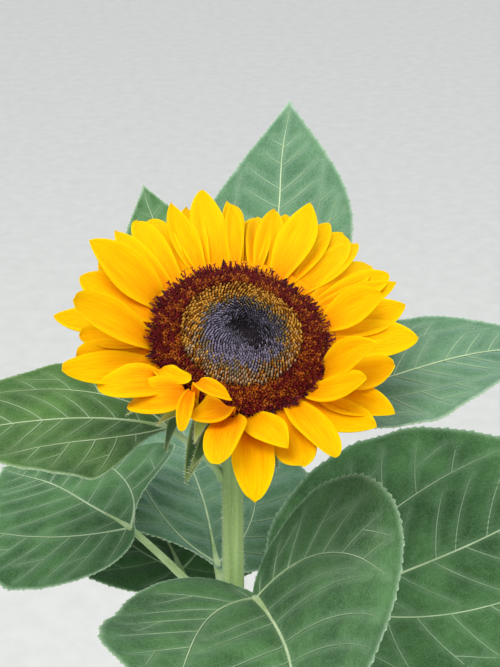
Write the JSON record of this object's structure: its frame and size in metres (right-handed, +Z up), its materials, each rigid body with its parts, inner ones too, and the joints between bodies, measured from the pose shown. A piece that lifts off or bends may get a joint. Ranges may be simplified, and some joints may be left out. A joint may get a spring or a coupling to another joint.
{
  "type": "sunflower plant",
  "caption": "Flowering sunflower plant rooted at the flat cut of its stem, with broad toothed leaves and one large flower head facing up and forward.",
  "frame": {"origin": "centre of the stem's flat cut at ground level", "axes": "+Z up along the stem; -Y is the side the flower head nods towards; +X is to the right seen from that side"},
  "size_m": [0.5152, 0.524, 0.9832],
  "materials": {
    "stem": "matte, ribbed and hairy, pale yellow-green",
    "leaf": "matte, rough-haired, mid green with pale veins",
    "bract": "matte, hairy, dark green with pale tips",
    "ray": "satin, finely grooved, golden yellow",
    "disc": "matte, made of many small florets, maroon rim round a dark middle"
  },
  "bodies": {
    "root": {"stem": "stem", "involucre": "bract", "ray_florets": "ray", "disc_florets": "disc", "leaf_small_back_left": "leaf", "leaf_top_back": "leaf", "leaf_upper_right": "leaf", "leaf_upper_left": "leaf", "leaf_front": "leaf", "leaf_lower_left": "leaf", "leaf_lower_right": "leaf", "leaf_lower_back": "leaf", "leaf_below_01": "leaf", "leaf_below_02": "leaf", "leaf_below_03": "leaf", "leaf_below_04": "leaf", "leaf_below_05": "leaf", "leaf_below_06": "leaf", "leaf_below_07": "leaf", "leaf_below_08": "leaf", "leaf_below_09": "leaf", "leaf_below_10": "leaf"}
  },
  "joints": []
}
